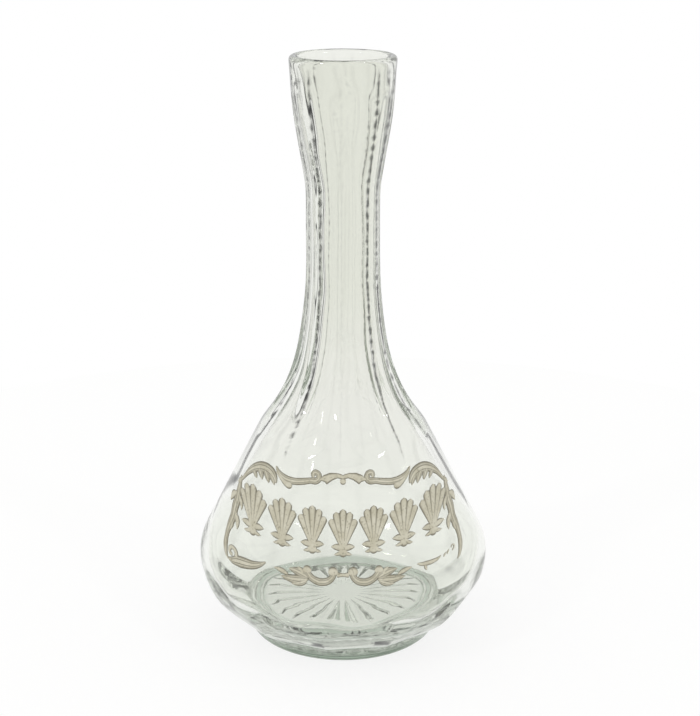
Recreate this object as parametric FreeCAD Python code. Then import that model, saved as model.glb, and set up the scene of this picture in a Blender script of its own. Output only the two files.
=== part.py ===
import FreeCAD, Part
import math
import os

# Back-bar bottle of clear pressed glass: a long panelled neck with a funnel mouth,
# a conical shoulder that carries a fired enamel label, a panelled underside and a
# thick base with a rayed star.  The origin is the centre of the foot on the table,
# +Z is up, and the label faces -Y.  Heights are measured from the table, in mm.

# ---- Glass, outside --------------------------------------------------------
height = 210.0              # table to the top of the rim
rim_radius = 18.4           # outside of the rounded rim
rim_wall = 3.0              # glass across the rim, rounded over its full width
rim_flat_count = 4          # the small round of the rim is cut in this many flats
lip_radius = 18.0           # outside just under the rim
lip_drop = 6.0              # rim top down to the place where that radius is met
knee_radius = 16.9          # funnel, where its taper turns more upright
knee_height = height - 21.0
neck_radius = 12.95         # over the ridges of the straight neck
neck_top = height - 45.0    # corner between the straight neck and the funnel
flare_top = height - 68.0   # where the neck starts to widen downwards
flare_break = 108.0         # where the slow upper curve meets the quick lower one
slow_curve_radius = 182.0
shoulder_radius = 29.5      # corner where the ridges land on the plain cone
shoulder_height = 80.0
knuckle_radius = 17.0       # rounding between the cone and the widest ring
belly_radius = 52.9         # widest ring, over the ridges
belly_height = 30.0
bowl_foot_radius = 36.8     # lower edge of the panelled bowl, over the ridges
bowl_foot_height = 5.4
foot_radius = 34.4          # outside of the foot ring, above its bevel
foot_flare = 1.2            # how much wider the foot ring is at its top
foot_height = 4.2
foot_edge = 1.2             # bevel at the bottom of the foot ring

# ---- Glass, inside ---------------------------------------------------------
bore_radius = 9.6           # true round throat of the neck, which takes the cork
bore_bottom = flare_top - 8.0   # lower end of the round throat
inner_knee_wall = 3.3       # funnel wall at the knee, under the ridges
inner_break_wall = 4.25     # glass where the cavity's slow curve meets the quick one
inner_break_drop = 2.0      # that place below the same one on the outside
inner_shoulder_wall = 5.3   # glass at the shoulder, over the ridges
inner_shoulder_drop = 1.0   # cavity's shoulder below the outside one
side_wall = 2.8             # glass across the knuckle and the widest ring
floor_height = 14.0         # cavity floor, over the thick base
corner_flat_count = 4       # the cavity's lower rounding is cut in this many flats

# ---- Panels ----------------------------------------------------------------
neck_panels = 8
neck_ridge_turn = -2.0      # degrees from the label's centre to the nearest ridge
neck_panel_depth = 0.9      # flat below the ridges, in the straight neck
panel_tail = 5.5            # how far each flat runs down the cone past the ridges
panel_top_gap = 7.0         # rim top down to the upper end of the flats
panel_run_out = 0.5         # a flat ends where its line stands this far outside the glass
bowl_panels = 12
bowl_ridge_turn = 22.0      # degrees from the label's centre to the nearest ridge
bowl_panel_depth = 1.3      # flat below the ridges, at the bowl's lower edge
bowl_middle_depth = 1.5     # flat below the ridges, halfway up the flats
bowl_panel_top = 22.0       # height where the flats run out

# ---- Rayed star under the base ---------------------------------------------
recess_radius = 31.0        # inside of the foot ring
recess_height = 2.2         # base surface above the table
ray_count = 24
ray_inner = 6.5             # distance of the ray tips from the centre
ray_widest = 25.0
ray_outer = 30.0
ray_width = 5.4
ray_depth = 1.5
ray_overlap = 0.2           # each ray starts this far below the base surface

# ---- Enamel label ----------------------------------------------------------
enamel_thickness = 0.20
label_height = 55.5         # middle of the label above the table
frame_share = 0.756         # half the frame's width against the widest ring
frame_half_width = frame_share * belly_radius    # middle line of the side scrolls
drawn_half_width = 39.9924  # the strokes are drawn for this one and stretch with the real one
stretch = frame_half_width / drawn_half_width
frame_top = 14.5            # top line above the label's middle
frame_bottom = 15.0         # bottom line below the label's middle
bead_radius = 1.5           # round ends of the scrolls
bead_flats = 8

# Strokes of the frame's left half.  Each place is (across, up, width of the stroke),
# from the middle of the frame's top or bottom line, or from one of its corners.
top_scroll_line = [(-23.2, 0.9, 0.8), (-19.6, -1.3, 2.2), (-15.2, -1.6, 2.0), (-10.8, 0.2, 1.2)]
top_curl_line = [(-21.4, -0.6, 0.8), (-20.2, -2.2, 1.4), (-18.9, -3.1, 1.0)]
top_scroll_bead = (-10.2, 1.0, 1.5)
top_curl_bead = (-18.8, -3.2, 1.2)
corner_leaf_line = [(3.4, -8.3, 0.9), (6.0, -4.0, 1.8), (10.8, -0.1, 2.7), (14.2, -0.3, 2.8),
                    (16.4, -2.8, 0.8)]
corner_leaf_lobes = [(9.6, -0.6, 10.8, -4.2, 1.9), (12.2, -0.4, 14.0, -4.6, 2.1),
                     (14.2, -0.6, 17.0, -4.0, 2.0)]
upper_side_line = [(2.8, -9.1, 0.8), (2.6, -13.0, 1.3), (1.2, -17.0, 1.9)]
lower_side_line = [(-0.4, 6.8, 1.9), (-1.5, 3.4, 1.5), (-1.3, 0.4, 0.9)]
upper_side_lobe = (2.4, -13.6, 4.2, -18.0, 1.5)
lower_side_lobe = (0.0, 10.4, 2.4, 4.4, 1.4)
horn_line = [(1.4, 1.6, 2.4), (4.2, 0.1, 2.8), (8.4, 0.2, 2.0), (12.8, 1.0, 0.9)]
horn_bead = (1.2, 1.3, 1.5)
worn_horn_line = [(6.6, 0.8, 0.9), (9.6, 0.9, 1.3), (12.8, 1.1, 1.1)]
worn_horn_bead = (2.2, 2.2, 0.8)
worn_horn_crumbs = [(3.4, 2.4, 4.6, 1.0, 0.9), (4.9, 1.8, 6.0, 0.6, 0.8)]
bottom_leaf_lobes = [(-13.4, 0.3, -22.8, 1.5, 2.4), (-13.4, 0.0, -21.6, -0.9, 2.2),
                     (-13.8, 0.6, -18.8, 2.4, 1.6)]
bottom_scroll_line = [(-11.8, 1.4, 1.1), (-10.0, -0.8, 1.8), (-7.4, -1.4, 2.0),
                      (-4.9, -0.5, 1.7), (-3.5, 1.4, 1.1)]
bottom_scroll_beads = [(-12.1, 1.7, 1.5), (-3.4, 1.7, 1.5)]
bottom_knot_lobe = (-1.7, 0.9, 1.7, 0.9, 2.2)

# One wing of the crest: root, over a hump to the tip, back by a cusp to the root.
wing_root_high = 0.7
wing_hump = (4.2, 1.7)
wing_tip = (8.4, 0.2)
wing_hollow = (6.9, -0.5)
wing_cusp = (4.8, -1.6)
wing_swag = (2.9, -0.4)
wing_root_low = -1.2
crest_bead = (0.0, -1.1, 1.1)

# Row of shells inside the frame.
shell_count = 7
shell_share = 0.2625        # step from shell to shell against half the frame's width
shell_spacing = shell_share * drawn_half_width
shell_height = 14.6         # middle shell, from its foot bead to its tip
shell_rise = 0.65           # how much higher each pair is than the pair inside it
shell_middle = -1.6         # middle shell against the label's middle
rib_width = 2.7             # widest place of each rib, near its tip
rib_tip_share = 0.45        # blunt tip against the rib's width
rib_tip_length = 0.5        # length of the narrowing end, in rib widths
rib_turns = (-22.0, -11.0, 0.0, 11.0, 22.0)
rib_shares = (0.82, 0.95, 1.0, 0.95, 0.82)
shell_ear = (0.4, 1.0, 3.9, 1.3, 2.2)   # right ear: a leaf from the bead outwards


def point(radius, up):
    return FreeCAD.Vector(radius, 0, up)


def line(start, end):
    return Part.LineSegment(start, end).toShape()


def arc(start, middle, end):
    return Part.Arc(start, middle, end).toShape()


def tangent_arc(start, lean, end):
    """Arc that leaves start at the angle lean from straight down and passes end."""
    chord = end.sub(start)
    chord_lean = math.atan2(chord.x, -chord.z)
    half_turn = chord_lean - lean
    bow = 0.5 * chord.Length * math.tan(0.5 * half_turn)
    inward = FreeCAD.Vector(chord.z, 0, -chord.x).normalize()
    middle = start.add(chord.multiply(0.5)).add(inward.multiply(bow))
    return arc(start, middle, end)


def flare(top, break_point, end):
    """Two arcs that leave a vertical wall at top and turn outwards down to end."""
    upper = tangent_arc(top, 0.0, break_point)
    fall = break_point.sub(top)
    lean = 2.0 * math.atan2(fall.x, -fall.z)
    return [upper, tangent_arc(break_point, lean, end)]


def slow_offset(drop):
    """How far the slow curve has moved outwards at a drop below its top."""
    return slow_curve_radius - math.sqrt(slow_curve_radius ** 2 - drop ** 2)


def tangent_point(centre, radius, far):
    """Point where a straight wall from far touches the outer side of an arc."""
    reach = far.sub(centre)
    turn = math.atan2(reach.z, reach.x) - math.acos(radius / reach.Length)
    return centre.add(point(radius * math.cos(turn), radius * math.sin(turn)))


def arc_about(centre, start, end):
    """Shorter arc between two points at one distance from centre."""
    bisector = start.sub(centre).add(end.sub(centre)).normalize()
    middle = centre.add(bisector.multiply(start.sub(centre).Length))
    return arc(start, middle, end)


def knuckle_and_cone(wall, shoulder):
    """Widest ring, its rounding, and the straight cone up to the shoulder."""
    centre = point(belly_radius - knuckle_radius, belly_height)
    radius = knuckle_radius - wall
    ring = point(belly_radius - wall, belly_height)
    touch = tangent_point(centre, radius, shoulder)
    return ring, touch, [line(shoulder, touch), arc_about(centre, touch, ring)]


def side_arc(ring, low):
    """Arc that leaves the widest ring straight down and curves in to low."""
    inward = ring.x - low.x
    drop = ring.z - low.z
    radius = (inward ** 2 + drop ** 2) / (2.0 * inward)
    return arc_about(point(ring.x - radius, ring.z), ring, low)


def flats(centre, start, end, count):
    """Straight edges between evenly spaced points of an arc about centre."""
    spoke = start.sub(centre)
    first = math.atan2(spoke.z, spoke.x)
    far_spoke = end.sub(centre)
    turn = math.atan2(far_spoke.z, far_spoke.x) - first
    corners = [start]
    for n in range(1, count):
        angle = first + turn * n / count
        corners.append(centre.add(point(spoke.Length * math.cos(angle),
                                        spoke.Length * math.sin(angle))))
    corners.append(end)
    return [line(low, high) for low, high in zip(corners, corners[1:])]


def revolve(edges):
    face = Part.Face(Part.Wire(edges))
    return face.revolve(FreeCAD.Vector(0, 0, 0), FreeCAD.Vector(0, 0, 1), 360)


def outer_blank():
    """Round blank over the ridges, solid inside, with the recess under the base."""
    rim_centre = point(rim_radius - 0.5 * rim_wall, height - 0.5 * rim_wall)
    rim_side = point(rim_radius, rim_centre.z)
    rim_inside = point(rim_radius - rim_wall, rim_centre.z)
    lip = point(lip_radius, height - lip_drop)
    knee = point(knee_radius, knee_height)
    neck_high = point(neck_radius, neck_top)
    neck_low = point(neck_radius, flare_top)
    slow_end = point(neck_radius + slow_offset(flare_top - flare_break), flare_break)
    shoulder = point(shoulder_radius, shoulder_height)
    ring, touch, cone_edges = knuckle_and_cone(0.0, shoulder)
    bowl_low = point(bowl_foot_radius, bowl_foot_height)
    foot_high = point(foot_radius + foot_flare, foot_height)
    foot_low = point(foot_radius, foot_edge)
    foot_rest = point(foot_radius - foot_edge, 0)
    recess_low = point(recess_radius, 0)
    recess_high = point(recess_radius, recess_height)
    base_middle = point(0, recess_height)
    mouth_middle = point(0, rim_centre.z)
    edges = [line(mouth_middle, rim_inside)]
    edges += flats(rim_centre, rim_inside, rim_side, rim_flat_count)
    edges += [
        line(rim_side, lip),
        line(lip, knee),
        line(knee, neck_high),
        line(neck_high, neck_low),
    ]
    edges += flare(neck_low, slow_end, shoulder)
    edges += cone_edges
    edges += [
        side_arc(ring, bowl_low),
        line(bowl_low, foot_high),
        line(foot_high, foot_low),
        line(foot_low, foot_rest),
        line(foot_rest, recess_low),
        line(recess_low, recess_high),
        line(recess_high, base_middle),
        line(base_middle, mouth_middle),
    ]
    return revolve(edges)


def cavity():
    """Inside of the bottle, from the open mouth down to the floor."""
    clear_of_rim = height + rim_wall
    mouth = point(rim_radius - rim_wall, height - 0.5 * rim_wall)
    mouth_top = point(mouth.x, clear_of_rim)
    knee = point(knee_radius - inner_knee_wall, knee_height)
    throat = point(bore_radius, neck_top)
    bore_low = point(bore_radius, bore_bottom)
    outer_break = neck_radius + slow_offset(flare_top - flare_break)
    slow_end = point(outer_break - inner_break_wall, flare_break - inner_break_drop)
    shoulder = point(shoulder_radius - inner_shoulder_wall, shoulder_height - inner_shoulder_drop)
    ring = point(belly_radius - side_wall, belly_height)
    touch = knuckle_and_cone(side_wall, shoulder)[1]
    corner = ring.z - floor_height
    floor_edge = point(ring.x - corner, floor_height)
    edges = [
        line(point(0, clear_of_rim), mouth_top),
        line(mouth_top, mouth),
        line(mouth, knee),
        line(knee, throat),
        line(throat, bore_low),
    ]
    edges += flare(bore_low, slow_end, shoulder)
    edges += [line(shoulder, touch), line(touch, ring)]
    edges += flats(point(floor_edge.x, ring.z), ring, floor_edge, corner_flat_count)
    edges += [
        line(floor_edge, point(0, floor_height)),
        line(point(0, floor_height), point(0, clear_of_rim)),
    ]
    return revolve(edges)


def panel_cutter(edges, high, low, turn):
    """Everything outside one flat: its side curve swept straight across the flat."""
    reach = 2.0 * belly_radius
    far_high = point(reach, high.z)
    far_low = point(reach, low.z)
    outline = edges + [line(low, far_low), line(far_low, far_high), line(far_high, high)]
    face = Part.Face(Part.Wire(outline))
    face.translate(FreeCAD.Vector(0, -reach, 0))
    cutter = face.extrude(FreeCAD.Vector(0, 2.0 * reach, 0))
    cutter.rotate(FreeCAD.Vector(0, 0, 0), FreeCAD.Vector(0, 0, 1), turn - 90.0)
    return cutter


def neck_cutters():
    """Flats that run from under the lip, down the neck and out onto the cone."""
    flat = neck_radius - neck_panel_depth
    high = point(lip_radius + panel_run_out, height - panel_top_gap)
    neck_high = point(flat, neck_top)
    neck_low = point(flat, flare_top)
    slow_end = point(flat + slow_offset(flare_top - flare_break), flare_break)
    shoulder = point(shoulder_radius, shoulder_height)
    touch = knuckle_and_cone(0.0, shoulder)[1]
    cone_slope = (touch.x - shoulder.x) / (shoulder.z - touch.z)
    low = point(shoulder_radius + cone_slope * panel_tail + panel_run_out,
                shoulder_height - panel_tail)
    edges = [line(high, neck_high), line(neck_high, neck_low)]
    edges += flare(neck_low, slow_end, low)
    step = 360.0 / neck_panels
    first = neck_ridge_turn + 0.5 * step
    return [panel_cutter(edges, high, low, first + n * step) for n in range(neck_panels)]


def bowl_radius_at(up):
    """Radius over the ridges of the bowl, at a height below the widest ring."""
    inward = belly_radius - bowl_foot_radius
    drop = belly_height - bowl_foot_height
    radius = (inward ** 2 + drop ** 2) / (2.0 * inward)
    return belly_radius - radius + math.sqrt(radius ** 2 - (belly_height - up) ** 2)


def bowl_cutters():
    """Flats of the underside, from below the widest ring down to the foot."""
    middle_height = 0.5 * (bowl_panel_top + bowl_foot_height)
    high = point(bowl_radius_at(bowl_panel_top) + panel_run_out, bowl_panel_top)
    middle = point(bowl_radius_at(middle_height) - bowl_middle_depth, middle_height)
    low = point(bowl_foot_radius - bowl_panel_depth, bowl_foot_height)
    under = point(low.x, 0.5 * (foot_height + foot_edge))
    edges = [arc(high, middle, low), line(low, under)]
    step = 360.0 / bowl_panels
    first = bowl_ridge_turn + 0.5 * step
    return [panel_cutter(edges, high, under, first + n * step) for n in range(bowl_panels)]


def ray():
    """V-shaped ray with six plane faces: sharp at both tips, widest between them."""
    below = recess_height - ray_overlap
    inner = FreeCAD.Vector(ray_inner, 0, below)
    outer = FreeCAD.Vector(ray_outer, 0, below)
    left = FreeCAD.Vector(ray_widest, -0.5 * ray_width, below)
    right = FreeCAD.Vector(ray_widest, 0.5 * ray_width, below)
    ridge = FreeCAD.Vector(ray_widest, 0, recess_height + ray_depth)
    rims = [(inner, left), (left, outer), (outer, right), (right, inner)]
    faces = [Part.Face(Part.makePolygon([low, high, ridge, low])) for low, high in rims]
    faces.append(Part.Face(Part.makePolygon([inner, left, outer, right, inner])))
    return Part.Solid(Part.Shell(faces))


def star():
    """Ring of rays, pressed up into the underside of the base."""
    rays = []
    for n in range(ray_count):
        turned = ray()
        turn = (n + 0.5) * 360.0 / ray_count
        turned.rotate(FreeCAD.Vector(0, 0, 0), FreeCAD.Vector(0, 0, 1), turn)
        rays.append(turned)
    return rays


def glass_body():
    hollow = outer_blank().cut(cavity())
    return hollow.cut(neck_cutters() + bowl_cutters() + star())


def enamel_skin():
    """Thin shell on the plain cone, out of which every enamel shape is taken."""
    shoulder = point(shoulder_radius, shoulder_height)
    ring, touch, inside = knuckle_and_cone(0.0, shoulder)
    lean = math.atan2(touch.x - shoulder.x, shoulder.z - touch.z)
    lift = point(enamel_thickness * math.cos(lean), enamel_thickness * math.sin(lean))
    raised_shoulder = shoulder.add(lift)
    raised_touch = touch.add(lift)
    raised_ring = point(belly_radius + enamel_thickness, belly_height)
    centre = point(belly_radius - knuckle_radius, belly_height)
    outside = [
        line(ring, raised_ring),
        arc_about(centre, raised_ring, raised_touch),
        line(raised_touch, raised_shoulder),
        line(raised_shoulder, shoulder),
    ]
    return revolve(inside + outside)


def front(across, up):
    """Point in front of the bottle, from the middle of the label as it was drawn."""
    return FreeCAD.Vector(stretch * across, -stamp_reach, label_height + up)


def stamp(edges):
    """Flat outline in front of the bottle, pushed back through the cone's front."""
    return Part.Face(Part.Wire(edges)).extrude(FreeCAD.Vector(0, stamp_reach, 0))


def outline(corners):
    return [line(here, there) for here, there in zip(corners, corners[1:] + corners[:1])]


def bead(anchor, across, up, radius):
    """Round spot, cut in a few flats."""
    turns = [2.0 * math.pi * n / bead_flats for n in range(bead_flats)]
    return stamp(outline([
        front(anchor[0] + across + radius * math.cos(turn),
              anchor[1] + up + radius * math.sin(turn))
        for turn in turns]))


def leaf(anchor, across, up, tip_across, tip_up, width):
    """Pointed leaf between two points, bounded by two arcs."""
    first = front(anchor[0] + across, anchor[1] + up)
    last = front(anchor[0] + tip_across, anchor[1] + tip_up)
    along = last.sub(first)
    side = FreeCAD.Vector(-along.z, 0, along.x).normalize().multiply(0.5 * width)
    middle = first.add(along.multiply(0.5))
    return stamp([arc(first, middle.add(side), last), arc(last, middle.sub(side), first)])


def ribbon(anchors, places):
    """Scroll stroke along a smooth line through places, each from its own anchor."""
    spots = [front(anchor[0] + across, anchor[1] + up)
             for anchor, (across, up, width) in zip(anchors, places)]
    spine = Part.BSplineCurve()
    spine.interpolate(spots)
    left = []
    right = []
    for spot, (across, up, width) in zip(spots, places):
        along = spine.tangent(spine.parameter(spot))[0]
        side = FreeCAD.Vector(-along.z, 0, along.x).multiply(0.5 * width)
        left.append(spot.add(side))
        right.append(spot.sub(side))
    left_side = Part.BSplineCurve()
    left_side.interpolate(left)
    right_side = Part.BSplineCurve()
    right_side.interpolate(right)
    return stamp([
        left_side.toShape(),
        line(left[-1], right[-1]),
        right_side.toShape(),
        line(right[0], left[0]),
    ])


def stroke(anchor, places):
    return ribbon([anchor] * len(places), places)


def fired(shapes, side=-1):
    """Enamel of one ornament: its outlines joined, taken out of the skin."""
    joined = shapes[0].multiFuse(shapes[1:]) if len(shapes) > 1 else shapes[0]
    piece = joined.common(skin)
    if side > 0:
        piece = piece.mirror(FreeCAD.Vector(0, 0, 0), FreeCAD.Vector(1, 0, 0))
    return piece


def crest():
    """Two wings with a bead hanging between them, at the top of the frame."""
    shapes = [bead(top_middle, *crest_bead)]
    for side in (-1, 1):
        hump, tip, hollow, cusp, swag = [
            front(side * across, frame_top + up)
            for across, up in (wing_hump, wing_tip, wing_hollow, wing_cusp, wing_swag)]
        root_high = front(0, frame_top + wing_root_high)
        root_low = front(0, frame_top + wing_root_low)
        shapes.append(stamp([
            arc(root_high, hump, tip),
            arc(tip, hollow, cusp),
            arc(cusp, swag, root_low),
            line(root_low, root_high),
        ]))
    return fired(shapes)


def top_scroll(side):
    """C-scroll beside the crest, with a bead at its high end and a curl below."""
    shapes = [
        stroke(top_middle, top_scroll_line),
        stroke(top_middle, top_curl_line),
        bead(top_middle, *top_scroll_bead),
        bead(top_middle, *top_curl_bead),
    ]
    return fired(shapes, side)


def corner_leaf(side):
    """Acanthus leaf that arches over the frame's upper corner."""
    lobes = [leaf(upper_corner, *lobe) for lobe in corner_leaf_lobes]
    return fired([stroke(upper_corner, corner_leaf_line)] + lobes, side)


def side_scroll(side):
    """Long S-stroke down the side of the frame, with two small leaves."""
    anchors = [upper_corner] * len(upper_side_line) + [lower_corner] * len(lower_side_line)
    shapes = [
        ribbon(anchors, upper_side_line + lower_side_line),
        leaf(upper_corner, *upper_side_lobe),
        leaf(lower_corner, *lower_side_lobe),
    ]
    return fired(shapes, side)


def bottom_horn(side):
    """Curled horn in the lower corner of the frame."""
    return fired([stroke(lower_corner, horn_line), bead(lower_corner, *horn_bead)], side)


def worn_horn(side):
    """What wear has left of the same horn on the other side: separate crumbs."""
    crumbs = [leaf(lower_corner, *crumb) for crumb in worn_horn_crumbs]
    crumbs.append(bead(lower_corner, *worn_horn_bead))
    return fired([stroke(lower_corner, worn_horn_line)] + crumbs, side)


def bottom_leaf(side):
    """Spray of pointed leaves beside the lower scroll."""
    return fired([leaf(bottom_middle, *lobe) for lobe in bottom_leaf_lobes], side)


def bottom_scroll(side):
    """C-scroll that hangs between two beads at the bottom of the frame."""
    beads = [bead(bottom_middle, *spot) for spot in bottom_scroll_beads]
    return fired([stroke(bottom_middle, bottom_scroll_line)] + beads, side)


def bottom_knot():
    """Small tied band between the two lower scrolls."""
    return fired([leaf(bottom_middle, *bottom_knot_lobe)])


def rib(root, reach, turn, width):
    """Rib that widens from root to a blunt tip, leaning over by turn degrees."""
    angle = math.radians(turn)
    ahead = FreeCAD.Vector(stretch * math.sin(angle), 0, math.cos(angle))
    aside = FreeCAD.Vector(stretch * math.cos(angle), 0, -math.sin(angle)) * (0.5 * width)
    start = front(*root)
    cheek = start.add(ahead * (reach - rib_tip_length * width))
    tip = start.add(ahead * reach)
    tip_aside = aside * rib_tip_share
    return stamp(outline([
        start,
        cheek.add(aside),
        tip.add(tip_aside),
        tip.sub(tip_aside),
        cheek.sub(aside),
    ]))


def shell(place):
    """Scallop shell of five ribs on a bead with two ears, one of a row of them."""
    from_middle = place - 0.5 * (shell_count - 1)
    across = from_middle * shell_spacing
    foot = shell_middle + shell_rise * abs(from_middle) - 0.5 * shell_height
    root = (across, foot + bead_radius)
    reach = shell_height - bead_radius
    ear_across, ear_up, tip_across, tip_up, ear_width = shell_ear
    shapes = [bead(root, 0, 0, bead_radius)]
    for side in (-1, 1):
        shapes.append(leaf(root, side * ear_across, ear_up, side * tip_across, tip_up, ear_width))
    for turn, share in zip(rib_turns, rib_shares):
        shapes.append(rib(root, reach * share, turn, rib_width))
    return fired(shapes)


os.makedirs("parts", exist_ok=True)
skin = enamel_skin()
stamp_reach = belly_radius + enamel_thickness
top_middle = (0.0, frame_top)
bottom_middle = (0.0, -frame_bottom)
upper_corner = (-drawn_half_width, frame_top)
lower_corner = (-drawn_half_width, -frame_bottom)
pieces = {"glass_body": glass_body(), "crest": crest(), "bottom_knot": bottom_knot()}
for name, side in (("left", -1), ("right", 1)):
    pieces["top_scroll_" + name] = top_scroll(side)
    pieces["corner_leaf_" + name] = corner_leaf(side)
    pieces["side_scroll_" + name] = side_scroll(side)
    pieces["bottom_leaf_" + name] = bottom_leaf(side)
    pieces["bottom_scroll_" + name] = bottom_scroll(side)
pieces["bottom_horn_left"] = bottom_horn(-1)
pieces["bottom_horn_right"] = worn_horn(1)
for place in range(shell_count):
    pieces["shell_%d" % (place + 1)] = shell(place)
for name, shape in pieces.items():
    print("%-20s solids %d  volume %10.3f  valid %s"
          % (name, len(shape.Solids), shape.Volume, shape.isValid()))
    shape.exportStep("parts/%s.step" % name)
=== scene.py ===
import math
import bpy
import numpy as np
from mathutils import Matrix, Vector


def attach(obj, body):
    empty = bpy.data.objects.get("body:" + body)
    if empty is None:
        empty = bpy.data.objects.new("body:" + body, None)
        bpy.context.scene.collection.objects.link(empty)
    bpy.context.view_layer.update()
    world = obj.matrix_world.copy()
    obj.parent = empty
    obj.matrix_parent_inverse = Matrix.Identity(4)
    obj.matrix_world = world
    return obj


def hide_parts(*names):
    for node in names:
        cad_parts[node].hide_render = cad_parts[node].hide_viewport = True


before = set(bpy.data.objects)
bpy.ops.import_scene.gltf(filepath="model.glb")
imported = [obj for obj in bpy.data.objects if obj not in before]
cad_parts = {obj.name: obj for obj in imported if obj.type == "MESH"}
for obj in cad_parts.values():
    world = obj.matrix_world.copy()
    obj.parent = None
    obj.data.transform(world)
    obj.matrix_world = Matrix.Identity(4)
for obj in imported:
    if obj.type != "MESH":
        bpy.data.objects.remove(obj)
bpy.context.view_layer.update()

# ---- Glass bottle ----------------------------------------------------------
# The bottle is one piece of clear soda-lime glass: the neck with its eight flats is pressed,
# the bowl with its twelve flats is blown out below it, and a star of 24 rays is stamped up
# into the thick base.  Lengths are in mm, and turns in degrees from the label's middle.
MM = 0.001
bottle_height = 210.0
belly = np.array([52.85, 30.0])         # (radius, height) of the widest ring
shoulder = np.array([29.5, 80.0])       # the cone ends here and the neck's flare begins
bowl_foot = np.array([36.9, 5.6])       # the bowl stands on the foot ring here
belly_round = 17.0                      # radius of the bend between bowl and cone
neck_radius = 12.95
flare_top = 142.0                       # the neck starts to widen below this height
flare_break = 108.0                     # the flare goes over into a tighter arc here
flare_round = 182.0                     # radius of the arc above that break


def around(centre, start, end, count):
    """Points on an arc: the angle runs evenly from start to end at start's distance."""
    first = np.arctan2(start[1] - centre[1], start[0] - centre[0])
    last = np.arctan2(end[1] - centre[1], end[0] - centre[0])
    angle = np.linspace(first, last, count)
    reach = np.hypot(start[0] - centre[0], start[1] - centre[1])
    return np.stack([centre[0] + reach * np.cos(angle), centre[1] + reach * np.sin(angle)], 1)


def leaving(start, end, lean, count):
    """Arc that leaves start at an angle from straight down and passes through end: each
    point turns by an even share of twice the angle between the lean and the chord."""
    chord = np.subtract(end, start)
    half = math.atan2(chord[0], -chord[1]) - lean
    share = np.linspace(0.0, 1.0, count)
    if abs(half) < 1e-6:
        return start + share[:, None] * chord
    length = np.hypot(*chord) * np.sin(half * share) / math.sin(half)
    angle = lean + half * share
    return np.stack([start[0] + length * np.sin(angle), start[1] - length * np.cos(angle)], 1)


def touch_point(centre, radius, far):
    """Where the straight line from far meets the outer side of a circle: the direction to
    far, less the angle whose cosine is the radius over the distance."""
    reach = far - centre
    angle = math.atan2(reach[1], reach[0]) - math.acos(radius / np.hypot(*reach))
    return centre + radius * np.array([math.cos(angle), math.sin(angle)])


# Outside from the foot up, as (radius, height) over the ridges of the flats.
fall = belly - bowl_foot
bowl_radius = (fall @ fall) / (2.0 * fall[0])
belly_centre = np.array([belly[0] - belly_round, belly[1]])
cone_foot = touch_point(belly_centre, belly_round, shoulder)
flare_fall = flare_top - flare_break
break_radius = neck_radius + flare_round - math.sqrt(flare_round ** 2 - flare_fall ** 2)
break_lean = 2.0 * math.atan2(break_radius - neck_radius, flare_fall)
rim_middle = np.array([16.9, 208.5])
rim_round = np.array([1.5, 0.0])
outside = np.concatenate([
    [[33.0, 0.0], [33.7, 0.1], [34.6, 1.2], [35.3, 3.4], [36.0, 4.6], bowl_foot],
    around((belly[0] - bowl_radius, belly[1]), bowl_foot, belly, 80)[1:],
    around(belly_centre, belly, cone_foot, 40)[1:],
    leaving((break_radius, flare_break), shoulder, break_lean, 80)[::-1],
    leaving((neck_radius, flare_top), (break_radius, flare_break), 0.0, 60)[-2::-1],
    [[neck_radius, 165.0], [14.9, 177.0], [16.9, 189.0], [17.75, 198.0], [18.15, 205.0]],
    around(rim_middle, rim_middle + rim_round, rim_middle - rim_round, 16),
])

# Inside from the mouth down: funnel, straight throat, flare, cone, belly, rounded floor.
belly_wall = 2.8
inner_belly = np.array([belly[0] - belly_wall, belly[1]])
inner_shoulder = np.array([24.2, 79.0])
inner_break = np.array([11.9, 106.0])
throat_foot = np.array([9.4, 134.0])
inner_lean = 2.0 * math.atan2(2.3, 28.0)    # slightly steeper than the arc above it ends
inner_cone_foot = touch_point(belly_centre, belly_round - belly_wall, inner_shoulder)
floor_height = 14.0
floor_round = belly[1] - floor_height
floor_centre = np.array([inner_belly[0] - floor_round, belly[1]])
inside = np.concatenate([
    [[15.2, 206.5], [13.6, 189.0], [9.5, 165.0], throat_foot],
    leaving(throat_foot, inner_break, 0.0, 40)[1:],
    leaving(inner_break, inner_shoulder, inner_lean, 60)[1:],
    around(belly_centre, inner_cone_foot, inner_belly, 30),
    around(floor_centre, inner_belly, (floor_centre[0], floor_height), 40)[1:],
    [[0.0, floor_height]],
])

# Underside from the middle out: a flat recess, and a short step down to the foot ring.
recess_height = 2.2
underside = np.array([[0.0, recess_height], [30.9, recess_height], [31.5, 0.3],
                      [32.0, 0.0], [33.0, 0.0]])


def run_along(path):
    """Distance from the path's start to each of its points: the sum of the steps."""
    return np.concatenate([[0.0], np.cumsum(np.hypot(*np.diff(path, axis=0).T))])


def even_steps(path, step):
    """The same line with its points an even step apart."""
    run = run_along(path)
    wanted = np.arange(0.0, run[-1], step)
    return np.stack([np.interp(wanted, run, path[:, n]) for n in (0, 1)], 1)


def soften(path, spread, step=0.1):
    """Path in even steps with its corners rounded: each point becomes the mean of its
    neighbours, weighted by a bell curve of that spread, and the two ends stay put."""
    path = even_steps(path, step)
    reach = int(4 * spread / step)
    weight = np.exp(-0.5 * (np.arange(-reach, reach + 1) * step / spread) ** 2)
    weight /= weight.sum()
    head = 2 * path[0] - path[reach:0:-1]
    tail = 2 * path[-1] - path[-2:-reach - 2:-1]
    full = np.concatenate([head, path, tail])
    return np.stack([np.convolve(full[:, n], weight, "valid") for n in (0, 1)], 1)


def even_share(values, none_at, all_at):
    """Share that goes evenly from 0 at none_at to 1 at all_at, and stays there."""
    return np.clip((values - none_at) / (all_at - none_at), 0.0, 1.0)


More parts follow.
